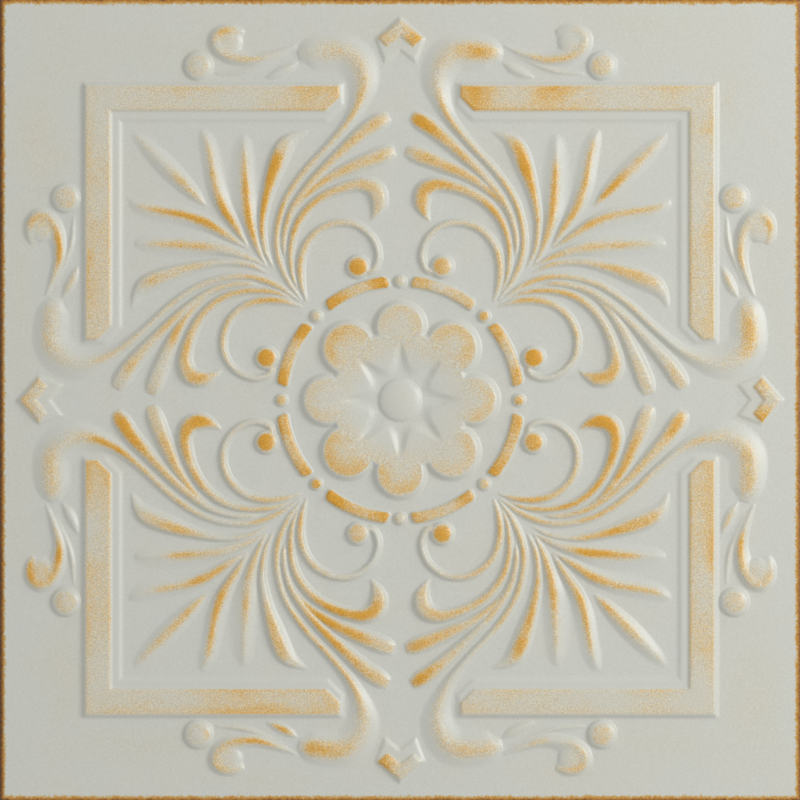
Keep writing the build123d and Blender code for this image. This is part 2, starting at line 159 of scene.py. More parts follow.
# Leaves and scrolls, each from its root to its tip. A station gives x, y, the width of the
# crest, the widths of the slopes to its left and right, the height, and how much gold it has.
STROKES = {
    "tendril": [
        (58.5, 62.0, 0.8, 0.5, 0.3, 0.5, 0.3),
        (61.6, 72.5, 2.3, 1.8, 1.1, 1.9, 0.7),
        (62.3, 84.5, 2.8, 2.2, 1.5, 2.4, 0.8),
        (59.0, 96.3, 2.8, 2.1, 1.6, 2.4, 0.6),
        (51.0, 105.6, 2.7, 1.9, 1.7, 2.4, 0.6),
        (39.5, 110.3, 2.6, 1.8, 1.8, 2.4, 0.5),
        (27.3, 109.0, 2.4, 1.6, 1.8, 2.4, 0.4),
        (17.6, 101.4, 2.3, 1.5, 1.8, 2.4, 0.3),
        (13.6, 90.5, 2.3, 1.5, 1.8, 2.4, 0.25),
        (16.4, 81.6, 2.2, 1.4, 1.7, 2.2, 0.35),
        (23.0, 79.8, 1.8, 1.2, 1.4, 1.8, 0.6),
    ],
    "comma leaf": [
        (63.6, 68.4, 0.7, 0.3, 0.25, 0.5, 0.4),
        (67.3, 79.0, 1.9, 1.2, 0.9, 1.8, 0.7),
        (68.1, 94.5, 2.3, 1.5, 1.1, 2.3, 0.8),
        (64.2, 109.5, 3.0, 1.8, 1.4, 2.6, 0.8),
        (54.8, 121.8, 3.3, 2.1, 1.7, 2.8, 0.75),
        (41.5, 130.1, 3.8, 2.4, 2.1, 3.1, 0.7),
        (25.5, 134.4, 5.2, 2.8, 2.6, 3.5, 0.8),
        (15.9, 131.3, 7.2, 2.8, 3.0, 3.6, 0.95),
        (13.3, 123.5, 6.6, 2.5, 2.7, 3.2, 0.85),
        (15.8, 115.6, 2.6, 1.2, 1.3, 1.5, 0.5),
        (18.2, 112.2, 0.7, 0.3, 0.35, 0.4, 0.2),
    ],
    "short drop": [
        (65.6, 117.6, 0.6, 0.3, 0.3, 0.4, 0.2),
        (59.4, 126.9, 2.0, 1.35, 1.35, 1.8, 0.7),
        (45.0, 137.9, 3.8, 2.2, 2.2, 2.6, 0.75),
        (27.0, 146.5, 5.8, 2.6, 2.6, 3.0, 0.72),
        (11.6, 152.6, 7.2, 2.6, 2.6, 2.7, 0.68),
        (4.4, 155.2, 4.6, 2.0, 2.0, 0.9, 0.5),
    ],
    "long drop": [
        (72.0, 89.5, 0.6, 0.3, 0.25, 0.4, 0.2),
        (72.6, 96.5, 1.9, 1.25, 1.0, 1.8, 0.55),
        (71.5, 106.5, 2.3, 1.5, 1.2, 2.2, 0.6),
        (66.6, 120.3, 2.7, 1.7, 1.3, 2.5, 0.6),
        (54.5, 136.9, 3.0, 2.0, 1.6, 2.9, 0.65),
        (39.0, 152.6, 4.0, 2.4, 2.2, 3.0, 0.75),
        (23.5, 166.4, 6.2, 2.6, 2.6, 3.2, 0.82),
        (13.6, 173.4, 7.2, 2.6, 2.6, 2.7, 0.78),
        (8.0, 176.8, 4.6, 2.0, 2.0, 0.9, 0.5),
    ],
    "scroll": [
        (61.6, 62.6, 0.7, 0.3, 0.4, 0.5, 0.3),
        (70.0, 74.6, 2.0, 1.0, 1.4, 1.6, 0.6),
        (76.0, 89.5, 2.4, 1.2, 1.8, 2.0, 0.75),
        (76.6, 106.0, 2.4, 1.2, 1.8, 2.1, 0.7),
        (71.4, 124.5, 2.4, 1.3, 1.8, 2.1, 0.65),
        (59.8, 142.2, 2.4, 1.5, 1.9, 2.2, 0.6),
        (43.5, 159.8, 2.4, 1.9, 2.4, 2.5, 0.55),
        (31.3, 174.8, 2.5, 2.8, 3.5, 2.7, 0.65),
        (24.9, 187.8, 3.4, 5.4, 6.0, 2.9, 0.6),
        (22.8, 199.8, 5.4, 7.8, 8.2, 3.1, 0.5),
        (26.6, 210.6, 6.8, 8.8, 9.2, 3.3, 0.5),
        (36.0, 217.6, 7.4, 8.2, 9.2, 3.3, 0.65),
        (54.0, 217.2, 8.0, 6.2, 7.8, 3.0, 0.7),
        (62.6, 214.8, 5.0, 1.6, 2.2, 0.8, 0.15),
    ],
    "hook": [
        (65.4, 220.6, 0.8, 0.7, 0.65, 0.5, 0.1),
        (77.0, 215.9, 1.9, 2.3, 2.2, 1.7, 0.4),
        (89.0, 212.4, 2.8, 3.4, 3.3, 2.6, 0.75),
        (99.0, 212.6, 3.2, 5.0, 3.3, 2.9, 0.7),
        (107.5, 214.8, 3.6, 8.5, 3.3, 3.1, 0.6),
        (113.6, 219.8, 4.0, 9.5, 3.4, 3.2, 0.55),
        (114.6, 225.8, 4.2, 9.0, 3.4, 3.1, 0.6),
        (110.2, 229.8, 4.0, 7.0, 2.8, 2.8, 0.75),
        (103.6, 230.4, 3.4, 5.2, 2.4, 2.2, 0.6),
        (98.2, 229.0, 2.0, 3.0, 1.8, 0.9, 0.3),
    ],
    "hook tail": [
        (114.0, 203.4, 0.5, 0.7, 0.7, 0.5, 0.1),
        (95.0, 205.6, 1.0, 1.8, 1.8, 1.3, 0.25),
        (71.5, 214.8, 0.5, 0.55, 0.55, 0.4, 0.1),
    ],
    "small leaf": [
        (82.6, 201.2, 0.6, 0.9, 0.9, 0.6, 0.1),
        (76.5, 203.6, 2.2, 2.4, 2.4, 1.6, 0.5),
        (70.0, 206.8, 2.4, 2.4, 2.4, 1.6, 0.5),
        (64.4, 210.2, 0.6, 0.6, 0.6, 0.4, 0.1),
    ],
    "curled leaf": [
        (79.4, 83.2, 0.6, 0.3, 0.3, 0.4, 0.3),
        (84.4, 94.5, 2.0, 1.3, 1.3, 1.7, 0.6),
        (86.0, 111.0, 2.5, 1.8, 1.7, 2.3, 0.75),
        (82.9, 129.5, 3.7, 3.1, 2.0, 2.8, 0.8),
        (77.6, 146.8, 6.5, 4.1, 2.4, 3.4, 0.8),
        (72.8, 158.0, 6.6, 4.0, 2.4, 3.0, 0.65),
        (66.8, 163.8, 3.8, 3.0, 1.6, 1.8, 0.35),
        (58.5, 167.2, 0.8, 1.2, 0.6, 0.4, 0.1),
    ],
    "broad leaf": [
        (83.6, 83.6, 0.6, 0.3, 0.3, 0.4, 0.3),
        (89.6, 96.5, 2.7, 1.4, 1.3, 1.9, 0.7),
        (94.1, 112.0, 3.8, 2.9, 3.9, 2.8, 0.9),
        (95.9, 128.0, 2.8, 6.4, 9.2, 2.5, 0.85),
        (97.0, 146.5, 2.2, 7.0, 9.0, 2.1, 0.7),
        (97.3, 158.5, 1.5, 5.6, 6.8, 1.6, 0.25),
        (97.5, 164.6, 0.8, 2.4, 2.8, 0.5, 0.0),
    ],
    "bent leaf": [
        (95.4, 96.2, 0.8, 0.4, 0.3, 0.5, 0.3),
        (101.6, 106.4, 2.8, 1.8, 1.2, 2.1, 0.7),
        (110.5, 120.4, 4.1, 4.0, 2.2, 2.9, 0.85),
        (115.2, 133.8, 3.0, 6.3, 4.6, 2.6, 0.8),
        (117.5, 146.0, 2.5, 7.0, 5.2, 2.3, 0.75),
        (119.2, 156.0, 2.5, 6.2, 5.4, 2.0, 0.6),
        (121.2, 163.0, 2.0, 4.6, 4.2, 1.5, 0.3),
        (123.4, 167.9, 1.0, 2.4, 2.2, 0.5, 0.0),
    ],
    "corner leaf": [
        (121.5, 121.5, 0.6, 0.55, 0.55, 0.4, 0.3),
        (129.5, 129.5, 3.5, 3.1, 3.1, 2.2, 0.75),
        (143.0, 143.0, 4.4, 4.9, 4.9, 2.7, 0.75),
        (155.0, 155.0, 3.4, 4.6, 4.6, 2.0, 0.65),
        (161.5, 161.5, 2.2, 3.6, 3.6, 1.1, 0.4),
        (165.5, 165.5, 0.8, 1.6, 1.6, 0.3, 0.1),
    ],
}

# A leaf or scroll is stamped slab by slab. STEP is the way between two slabs and SLAB half the
# thickness of one.
STEP = 0.35
SLAB = 0.7

# Cross-section of a leaf or scroll. A crest with half its width up to RIDGE_HALF is a thin ridge, whose
# slopes are hollow where they are longer than SHORT_SLOPE. From BROAD_HALF on the form is full.
RIDGE_HALF = 1.2
BROAD_HALF = 2.0
SHORT_SLOPE = 3
HOLLOWING = 0.13
MOST_HOLLOW = 1.7
EASED_SHARE = 0.3
DOME = 0.10
DOME_GROWTH = 0.03
DOME_MARGIN = 0.3
THINNEST = 0.02

# Gold on it: the share of the crest that is fully painted, how much less lies at its sides, and how
# far the wash runs down the slopes
PAINTED_CREST = 0.75
CREST_SIDE_LOSS = 0.2
WASH_MARGIN = 0.3
CREST_WASH = 0.35
SLOPE_WASH = 0.55
SLOPE_WASH_LIMIT = 2.4
LONG_SLOPE_WASH = 0.25
BROAD_SLOPE_WASH = 0.35
# Gold on a ball fades between these shares of its radius
BALL_GOLD_EDGE = (0.55, 0.9)

# Final softening of the two maps
SOFTEN = 0.42
GOLD_SOFTEN = 0.3
# Sinks a stamp outside its form
SUNK = 9

# Unevenness made by hand and brush: size of the lumps in mm, strength, seed
WAVES = (7.0, 0.045, 3)
LONG_BRUSH = (12.0, 0.26, 4)
SHORT_BRUSH = (3.0, 0.2, 5)
# The spread of the noise, in standard deviations, that reaches the full strength
NOISE_SPREAD = 2.5
GOLD_STRENGTH = 0.92


def ease(value):
    """Smooth step from 0 to 1, held at both ends."""
    value = np.clip(value, 0, 1)
    return value * value * (3 - 2 * value)


def rise(value, start, end):
    """Smooth step that leaves 0 at the start and reaches 1 at the end."""
    return ease((value - start) / (end - start))


def blur(field, width):
    """Gaussian blur of a map by a width in mm, reflected at its sides."""
    cells = width / pitch
    reach = int(3 * cells + 1)
    offsets = np.arange(-reach, reach + 1)
    weights = np.exp(-0.5 * (offsets / cells) ** 2)
    weights /= weights.sum()
    for axis in (0, 1):
        pad = [(reach, reach) if a == axis else (0, 0) for a in (0, 1)]
        wide = np.pad(field, pad, mode="reflect")
        size = field.shape[axis]
        field = sum(
            weight * np.take(wide, range(start, start + size), axis)
            for start, weight in enumerate(weights)
        )
    return field


def smooth_noise(shape, lump, strength, seed):
    """Seeded random undulation of up to that strength, with lumps of about that many mm."""
    values = blur(np.random.default_rng(seed).standard_normal(shape), lump)
    return strength * np.clip(values / (values.std() * NOISE_SPREAD), -1, 1)


# The map is indexed [x, y] over one quadrant, from the centre out
line = np.linspace(0, FLAT_HALF, CELLS + 1)
pitch = line[1]
X, Y = np.meshgrid(line, line, indexing="ij")
R = np.hypot(X, Y)


class Map:
    """Height above the field and gold of one quadrant, built up form by form."""

    def __init__(self):
        self.height = np.zeros_like(X)
        self.gold = np.zeros_like(X)

    def add(self, height, gold, window=np.s_[:, :]):
        """Puts a form where it stands higher than what is there."""
        old = self.height[window]
        taller = height > old
        self.gold[window] = np.where(taller, gold, self.gold[window])
        self.height[window] = np.maximum(old, height)

    def mirrored(self):
        """Adds the copy mirrored in the diagonal."""
        self.add(self.height.T.copy(), self.gold.T.copy())


def window(x, y, reach):
    """Part of the map within reach of a point."""
    i0, i1 = (int(np.clip((x + side * reach) / pitch, -1, CELLS + 1)) for side in (-1, 1))
    j0, j1 = (int(np.clip((y + side * reach) / pitch, -1, CELLS + 1)) for side in (-1, 1))
    return np.s_[max(i0, 0):max(i1 + 2, 0), max(j0, 0):max(j1 + 2, 0)]


def curve(stations):
    """Stations on a smooth curve through the given ones, about STEP apart."""
    points = np.array(stations, float)
    ends = np.vstack([2 * points[0] - points[1], points, 2 * points[-1] - points[-2]])
    rows = []
    for a, b, c, d in zip(ends, ends[1:], ends[2:], ends[3:]):
        count = max(2, int(hypot(*(c - b)[:2]) / STEP))
        for t in np.linspace(0, 1, count, endpoint=False):
            rows.append(0.5 * (
                2 * b + (c - a) * t + (2 * a - 5 * b + 4 * c - d) * t ** 2
                + (3 * b - a - 3 * c + d) * t ** 3
            ))
    rows.append(points[-1])
    rows = np.array(rows)
    rows[:, 2:] = np.clip(rows[:, 2:], THINNEST, None)
    return rows


def fullness(half):
    """From 0 for a leaf's thin ridge, which has hollow slopes, to 1 for a scroll's broad crest."""
    return np.clip((half - RIDGE_HALF) / (BROAD_HALF - RIDGE_HALF), 0, 1)


def profile(distance, half, slope, height):
    """Rounded ridge: a slightly domed crest with a soft slope beside it."""
    share = np.clip((distance - half) / slope, 0, 1)
    hollow = np.clip(1 + HOLLOWING * (slope - SHORT_SLOPE) * (1 - fullness(half)), 1, MOST_HOLLOW)
    fall = EASED_SHARE * ease(share) + (1 - EASED_SHARE) * (1 - (1 - share) ** hollow)
    dome = 1 - (DOME + DOME_GROWTH * half) * np.clip(distance / (half + DOME_MARGIN), 0, 1) ** 2
    return height * dome * (1 - fall)


def add_stroke(target, stations):
    """Leaf or scroll, stamped slab by slab along its curve."""
    rows = curve(stations)
    runs = np.gradient(rows[:, :2], axis=0)
    runs /= np.linalg.norm(runs, axis=1)[:, None]
    for (x, y, crest, left, right, height, gold), (run_x, run_y) in zip(rows, runs):
        half = crest / 2
        view = window(x, y, half + max(left, right) + SLAB)
        away_x, away_y = X[view] - x, Y[view] - y
        along = away_x * run_x + away_y * run_y
        across = away_x * run_y - away_y * run_x
        slope = np.where(across < 0, left, right)
        distance = np.abs(across)
        body = profile(distance, half, slope, height) - SUNK * (np.abs(along) > SLAB)
        painted = PAINTED_CREST * half
        down_long_slope = LONG_SLOPE_WASH + BROAD_SLOPE_WASH * fullness(half)
        fade = WASH_MARGIN + CREST_WASH * half + SLOPE_WASH * np.minimum(slope, SLOPE_WASH_LIMIT)
        fade += down_long_slope * np.clip(slope - SHORT_SLOPE, 0, None)
        wash = gold * (1 - CREST_SIDE_LOSS * np.clip(distance / painted, 0, 1) ** 2)
        wash = wash * (1 - ease((distance - painted) / fade))
        target.add(body, wash, view)


def add_dome(target, x, y, radius, height, gold):
    """Ball or bead, with gold on its top."""
    view = window(x, y, radius)
    share = np.hypot(X[view] - x, Y[view] - y) / radius
    body = height * np.sqrt(np.clip(1 - share ** 2, 0, 1)) - SUNK * (share > 1)
    target.add(body, gold * (1 - rise(share, *BALL_GOLD_EDGE)), view)


def melt(target, x, y, reach, width):
    """Runs the forms near a place together."""
    near = np.exp(-((X - x) ** 2 + (Y - y) ** 2) / reach ** 2)
    target.height += near * (blur(target.height, width) - target.height)
    target.gold += near * (blur(target.gold, width) - target.gold)


def slopes(inside, slope):
    """Height share of a form from how far inside its foot outline a place is."""
    return ease(inside / slope)


def add_frame(target):
    """Half of one corner frame with its ledge, as far as the diagonal and past it."""
    def inside(end, inner, chamfer):
        corner = (X - end + Y - inner - chamfer) / sqrt(2)
        return np.minimum(np.minimum(X - end, Y - inner), corner)

    outer = BAR_OUTER - np.maximum(X, Y)
    turn = LEDGE_INNER - LEDGE_ROUND
    from_panel = np.hypot(np.clip(X - turn, 0, None), np.clip(Y - turn, 0, None)) - LEDGE_ROUND
    ledge = np.minimum(inside(LEDGE_END, LEDGE_INNER, LEDGE_CHAMFER), np.minimum(from_panel, outer))
    target.add(LEDGE_HEIGHT * blur(np.clip(ledge / LEDGE_SLOPE, 0, 1), FRAME_SOFTEN), 0)
    from_inner = inside(BAR_END, BAR_INNER, BAR_CHAMFER)
    bar = np.minimum(slopes(from_inner, BAR_INNER_SLOPE), slopes(outer, BAR_OUTER_SLOPE))
    # Gold is strongest near the bar's end, and further on along its two edges
    near_end = 1 - rise(X, *BAR_END_GOLD_FADE)
    rim = 1 - np.minimum(rise(from_inner, *BAR_INNER_RIM), rise(outer, *BAR_OUTER_RIM))
    wash = BAR_GOLD + BAR_END_GOLD * near_end + BAR_RIM_GOLD * rim
    wash *= rise(from_inner, *BAR_INNER_GOLD_EDGE) * rise(outer, *BAR_OUTER_GOLD_EDGE)
    target.add(BAR_HEIGHT * blur(bar, FRAME_SOFTEN), wash)


def inside_of(path):
    """How far inside a path each place is. The inside is to the path's right."""
    inside = np.full_like(X, np.inf)
    for (x0, y0), (x1, y1) in zip(path, path[1:]):
        run = hypot(x1 - x0, y1 - y0)
        inside = np.minimum(inside, ((X - x0) * (y1 - y0) - (Y - y0) * (x1 - x0)) / run)
    return inside


def add_finial(target):
    """Right half of one finial: a low arrowhead with a raised one on it."""
    step = inside_of([FINIAL_APEX, FINIAL_SHOULDER, FINIAL_LEG, FINIAL_FOOT])
    target.add(FINIAL_STEP * slopes(step, FINIAL_STEP_SLOPE), FINIAL_STEP_GOLD)
    top = inside_of([FINIAL_APEX, FINIAL_SHOULDER, FINIAL_WING, FINIAL_CREASE])
    towards_shoulder = X / FINIAL_SHOULDER[0]
    wash = (FINIAL_GOLD + FINIAL_SHOULDER_GOLD * towards_shoulder) * rise(top, *FINIAL_GOLD_EDGE)
    outer_side = inside_of([FINIAL_APEX, FINIAL_SHOULDER])
    wash *= slopes(outer_side - FINIAL_GOLD_INSET * (1 - towards_shoulder), FINIAL_GOLD_SLOPE)
    target.add(FINIAL_HEIGHT * slopes(top, FINIAL_SLOPE), wash)


def add_rosette(target):
    """Petals with a dished top, cut by the star-shaped hollow round the boss."""
    turn = 2 * pi / PETALS
    outside = HUB_RADIUS - R
    pillow = np.zeros_like(X)
    for petal in range(PETALS // 4 + 1):
        radius = PETAL_RADII[petal % 2]
        away = np.hypot(X - PETAL_CENTRE * sin(turn * petal), Y - PETAL_CENTRE * cos(turn * petal))
        outside = np.maximum(outside, radius - away)
        pillow = np.maximum(pillow, 1 - (away / radius) ** 2)
    # Each arm of the star runs up the middle of a petal and narrows on the way
    angle = np.arctan2(X, Y)
    from_arm = angle - turn * np.round(angle / turn)
    aside, along = R * np.abs(np.sin(from_arm)), R * np.cos(from_arm)
    left_to_go = np.clip((STAR_REACH - along) / (STAR_REACH - STAR_START), 0, None)
    half = STAR_HALF * left_to_go ** STAR_TAPER
    solid = ease((aside - STAR_FLOOR * half) / ((1 - STAR_FLOOR) * half + STAR_SLOPE))
    solid = 1 - (1 - solid) * ease((STAR_REACH + STAR_TIP - along) / STAR_RUN_OUT)
    dish = np.interp(R, DISH_RADII, DISH_HEIGHTS) + PETAL_PILLOW * pillow
    share = slopes(outside + PETAL_SLOPE, PETAL_SLOPE)
    rim = 1 - rise(outside, *PETAL_RIM)
    wash = PETAL_GOLD * rise(R, *PETAL_GOLD_FROM)
    wash += PETAL_RIM_GOLD * rim * rise(R, *PETAL_RIM_GOLD_FROM)
    wash *= rise(outside, *PETAL_GOLD_EDGE) * solid
    target.add(dish * share * solid, wash)
    add_dome(target, 0, 0, BOSS_RADIUS, BOSS_HEIGHT, BOSS_GOLD)


def add_ring(target):
    """Bars of the ring with a bead between each two."""
    turn = 360 / PETALS
    angle = np.degrees(np.arctan2(X, Y))
    across = np.abs(R - RING_RADIUS)
    for bar in range(PETALS // 4):
        start, end = RING_START + turn * bar, RING_END + turn * bar
        middle, spread = (start + end) / 2, (end - start) / 2
        inset = np.radians(np.abs(angle - middle)) * R - np.radians(spread) * RING_RADIUS + RING_HALF
        round_corner = np.hypot(np.clip(across - RING_END_FLAT, 0, None), inset) + RING_END_FLAT
        distance = np.where(inset > 0, round_corner, across)
        body = profile(np.maximum(distance, across), RING_HALF, RING_SLOPE, RING_HEIGHT)
        wash = RING_GOLD + RING_END_GOLD * rise(inset, *RING_END_GOLD_FROM)
        target.add(body, wash * (1 - rise(distance - RING_HALF, *RING_GOLD_EDGE)))
    for bead in range(PETALS // 4 + 1):
        x, y = RING_RADIUS * sin(radians(turn * bead)), RING_RADIUS * cos(radians(turn * bead))
        add_dome(target, x, y, BEAD_RADIUS, BEAD_HEIGHT, BEAD_GOLD)


def quadrant():
    """Height and gold of one quadrant of the ornament."""
    target = Map()
    for stations in STROKES.values():
        add_stroke(target, stations)
    for ball in BALLS:
        add_dome(target, *ball)
    melt(target, *HOOK_HEART)
    add_frame(target)
    add_finial(target)
    target.mirrored()
    add_rosette(target)
    add_ring(target)
    return blur(target.height, SOFTEN), blur(target.gold, GOLD_SOFTEN)


def unfold(field):
    """Whole map from one quadrant's."""
    half = np.vstack([field[:0:-1], field])
    return np.hstack([half[:, :0:-1], half])


# Where the brush left more or less gold than elsewhere: x, y, radius, factor
PATCHES = [
    # Rosette and beads
    (0, 48, 13, 0.75), (34, 34, 13, 1.35), (48, 0, 13, 0.95), (34, -34, 13, 0.95),
    (0, -48, 14, 1.45), (-34, -34, 13, 1.25), (-48, 0, 14, 0.55), (-34, 34, 13, 1.35),
    (25, 0, 14, 0.3), (24, -16, 12, 0.4), (-22, -8, 12, 0.5), (0, -22, 12, 0.6),
    (52, 52, 5, 1.3), (-52, -52, 5, 1.3), (-52, 52, 5, 0.6), (52, -52, 5, 0.6),
    (0, 74, 5, 0.5), (74, 0, 5, 1.0), (0, -74, 5, 0.45), (-74, 0, 5, 1.0),
    # Balls
    (84, 27, 9, 1.7), (-84, 27, 9, 1.1), (84, -27, 9, 1.0), (-84, -27, 9, 1.4),
    (27, 84, 9, 1.0), (-27, 84, 9, 1.1), (27, -84, 9, 0.9), (-27, -84, 9, 0.9),
    (-126, 208, 9, 0.4), (-208, 126, 9, 0.55), (-126, -208, 9, 0.25), (-208, -126, 9, 0.45),
    (208, -126, 9, 0.7), (208, 126, 9, 0.6), (126, -208, 9, 0.9), (126, 208, 9, 0.75),
    (-204, 121, 3, 1.7), (-119, -208, 3, 2.5),
    # Hooks, with their necks
    (-107, 229, 7, 1.3), (-113, 221, 5, 0.5), (103, 230, 8, 0.1), (112, 226, 5, 0.4),
    (-222, 113, 8, 1.3), (-231, 103, 6, 0.3), (-213, 98, 8, 1.3), (-228, -106, 8, 1.3),
    (-212, -98, 7, 1.5), (-106, -229, 8, 0.8), (-112, -221, 6, 0.9), (-95, -213, 9, 0.9),
    (110, -224, 9, 0.95), (98, -213, 9, 0.25), (228, 106, 7, 1.2), (219, 114, 6, 0.6),
    (212, 99, 9, 0.7), (95, 213, 8, 0.8), (219, -113, 8, 1.0), (230, -103, 6, 0.5), (211, -99, 8, 0.9),
    # Upper left
    (-55, 218, 12, 0.3), (-33, 216, 11, 0.6), (-97, 160, 9, 1.5),
    (-68, 162, 9, 0.6), (-82, 144, 9, 1.3), (-150, 150, 16, 0.25), (-130, 130, 9, 0.7),
    (-160, 122, 9, 0.8), (-145, 80, 12, 0.75), (-165, 66, 10, 0.4), (-110, 88, 14, 0.35),
    (-175, 12, 12, 0.45), (-150, 20, 16, 0.4), (-124, 14, 12, 0.8), (-134, 36, 12, 1.2),
    (-216, 50, 16, 0.55), (-198, 22, 14, 0.5), (-160, 40, 18, 0.75), (-90, 212, 9, 1.0),
    (-185, 186, 22, 0.55), (-14, 172, 12, 0.7), (-15, 126, 11, 0.6), (-193, 90, 6, 1.6),
    (-183, 107, 7, 1.4), (-193, 160, 8, 1.2), (-190, 60, 22, 0.9), (-100, 190, 30, 0.75),
    # Upper right
    (12, 173, 10, 1.45), (12, 128, 8, 0.7), (78, 147, 12, 1.2), (97, 158, 10, 0.2),
    (118, 160, 9, 1.3), (130, 130, 10, 1.2), (147, 147, 7, 0.75), (155, 122, 12, 1.3),
    (150, 97, 14, 0.8), (148, 78, 10, 1.1), (112, 87, 14, 0.5), (152, 32, 16, 0.5),
    (173, 12, 8, 1.0), (133, 44, 12, 0.75), (147, 16, 9, 1.1), (215, 52, 12, 1.0),
    (198, 24, 16, 0.55), (170, 36, 14, 0.4),
    (45, 190, 12, 1.7), (97, 190, 18, 1.75), (150, 190, 18, 0.9), (190, 190, 14, 0.5),
    (194, 112, 10, 1.3), (186, 62, 16, 0.85), (186, 115, 12, 0.6), (190, 150, 14, 0.7), (48, 218, 12, 1.1),
    (20, 205, 16, 0.75),
    # Lower left
    (-178, -34, 12, 1.6), (-217, -48, 14, 0.7), (-212, -22, 10, 0.6), (-172, -12, 10, 1.1),
    (-150, -14, 9, 0.6), (-122, -12, 10, 1.3), (-155, -72, 12, 0.75), (-110, -86, 16, 0.3),
    (-155, -97, 12, 0.15), (-125, -95, 9, 0.75), (-160, -121, 10, 0.4), (-150, -150, 20, 0.75),
    (-97, -145, 14, 0.4), (-85, -115, 12, 0.35), (-75, -155, 9, 1.0), (-12, -172, 10, 0.9),
    (-13, -150, 10, 0.7), (-45, -133, 12, 1.2), (-12, -122, 9, 0.7), (-20, -95, 20, 0.6),
    (-100, -65, 20, 0.7), (-25, -205, 14, 0.8), (-57, -217, 7, 1.1),
    (-75, -204, 8, 1.4), (-75, 204, 9, 0.1), (75, 204, 9, 0.1), (75, -204, 9, 0.2),
    (-204, -75, 9, 0.1), (-95, -193, 22, 1.3), (-150, -186, 22, 0.65), (-192, -120, 30, 1.1),
    (-190, -175, 20, 0.7), (-200, -80, 12, 0.3),
    # Lower right
    (205, -25, 14, 0.8), (218, -50, 10, 0.9), (170, -38, 14, 0.5), (172, -14, 10, 1.1),
    (150, -14, 9, 0.8), (120, -12, 11, 1.4), (150, -77, 11, 1.0), (103, -85, 12, 0.4),
    (155, -97, 11, 0.4), (158, -118, 9, 1.2), (133, -130, 9, 1.2), (156, -155, 12, 0.4),
    (97, -145, 12, 0.7), (75, -155, 11, 1.1), (12, -173, 9, 1.6), (45, -150, 16, 0.5),
    (10, -152, 7, 1.2), (11, -128, 10, 0.5), (22, -200, 14, 0.8), (50, -217, 12, 0.75),
    (38, -172, 14, 0.5), (193, -95, 16, 1.4), (185, -185, 16, 0.55), (120, -186, 40, 0.75),
    # Finials
    (8, 228, 8, 1.3), (-8, 230, 7, 0.8), (-8, -228, 8, 1.3), (10, -226, 8, 0.4),
    (-235, 0, 7, 1.5), (-224, -10, 7, 0.7), (224, 12, 7, 0.9), (226, -12, 7, 1.3), (232, 2, 5, 0.6),
]
# Faint smudges of gold on the field: x, y, reach along x, reach along y, wash
SMUDGES = [
    (-226, 160, 14, 40, 0.2), (-213, 148, 2.5, 3.0, 0.5), (-215, 205, 25, 22, 0.13),
    (-238, 70, 9, 60, 0.14), (-238, -60, 8, 50, 0.12), (-210, -165, 18, 25, 0.15),
    (-170, -215, 45, 10, 0.19), (-211, -195, 2.0, 5.0, 0.4), (-90, -238, 40, 5, 0.14),
    (222, -190, 20, 36, 0.17), (170, -215, 40, 12, 0.12), (160, 235, 40, 9, 0.14),
    (205, 185, 6, 22, 0.2), (90, -232, 50, 6, 0.13), (-140, 218, 50, 12, 0.12),
    (-20, 232, 14, 6, 0.14), (236, 60, 6, 40, 0.1), (-139, 195.6, 2.4, 0.7, 1.0),
]

height, gold = (unfold(field) for field in quadrant())
full_line = np.concatenate([-line[:0:-1], line])
WX, WY = np.meshgrid(full_line, full_line, indexing="ij")
height = height + smooth_noise(height.shape, *WAVES)
brush = smooth_noise(height.shape, *LONG_BRUSH) + smooth_noise(height.shape, *SHORT_BRUSH)
for x, y, radius, factor in PATCHES:
    near = np.exp(-((WX - x) ** 2 + (WY - y) ** 2) / radius ** 2)
    gold = gold * (1 + (factor - 1) * near)
gold = GOLD_STRENGTH * gold * (1 + brush)
for x, y, reach_x, reach_y, wash in SMUDGES:
    gold = np.maximum(gold, wash * np.exp(-((WX - x) / reach_x) ** 2 - ((WY - y) / reach_y) ** 2))
gold = np.clip(gold, 0, 1)

# The rounded edge adds a few lines of the grid beyond the flat part
arc = np.radians(EDGE_ANGLES)
edge_line = FLAT_HALF + EDGE_ROUND * np.sin(arc)
grid_line = np.concatenate([-edge_line[::-1], full_line, edge_line])
edge_drop = EDGE_ROUND * (1 - np.cos(arc))
drop = np.concatenate([edge_drop[::-1], np.zeros(len(full_line)), edge_drop])
margin = len(arc)
height = np.pad(height, margin, mode="edge")
gold = np.pad(gold, margin, mode="edge")
Z = THICKNESS + height - np.maximum(drop[:, None], drop[None, :])
count = len(grid_line)


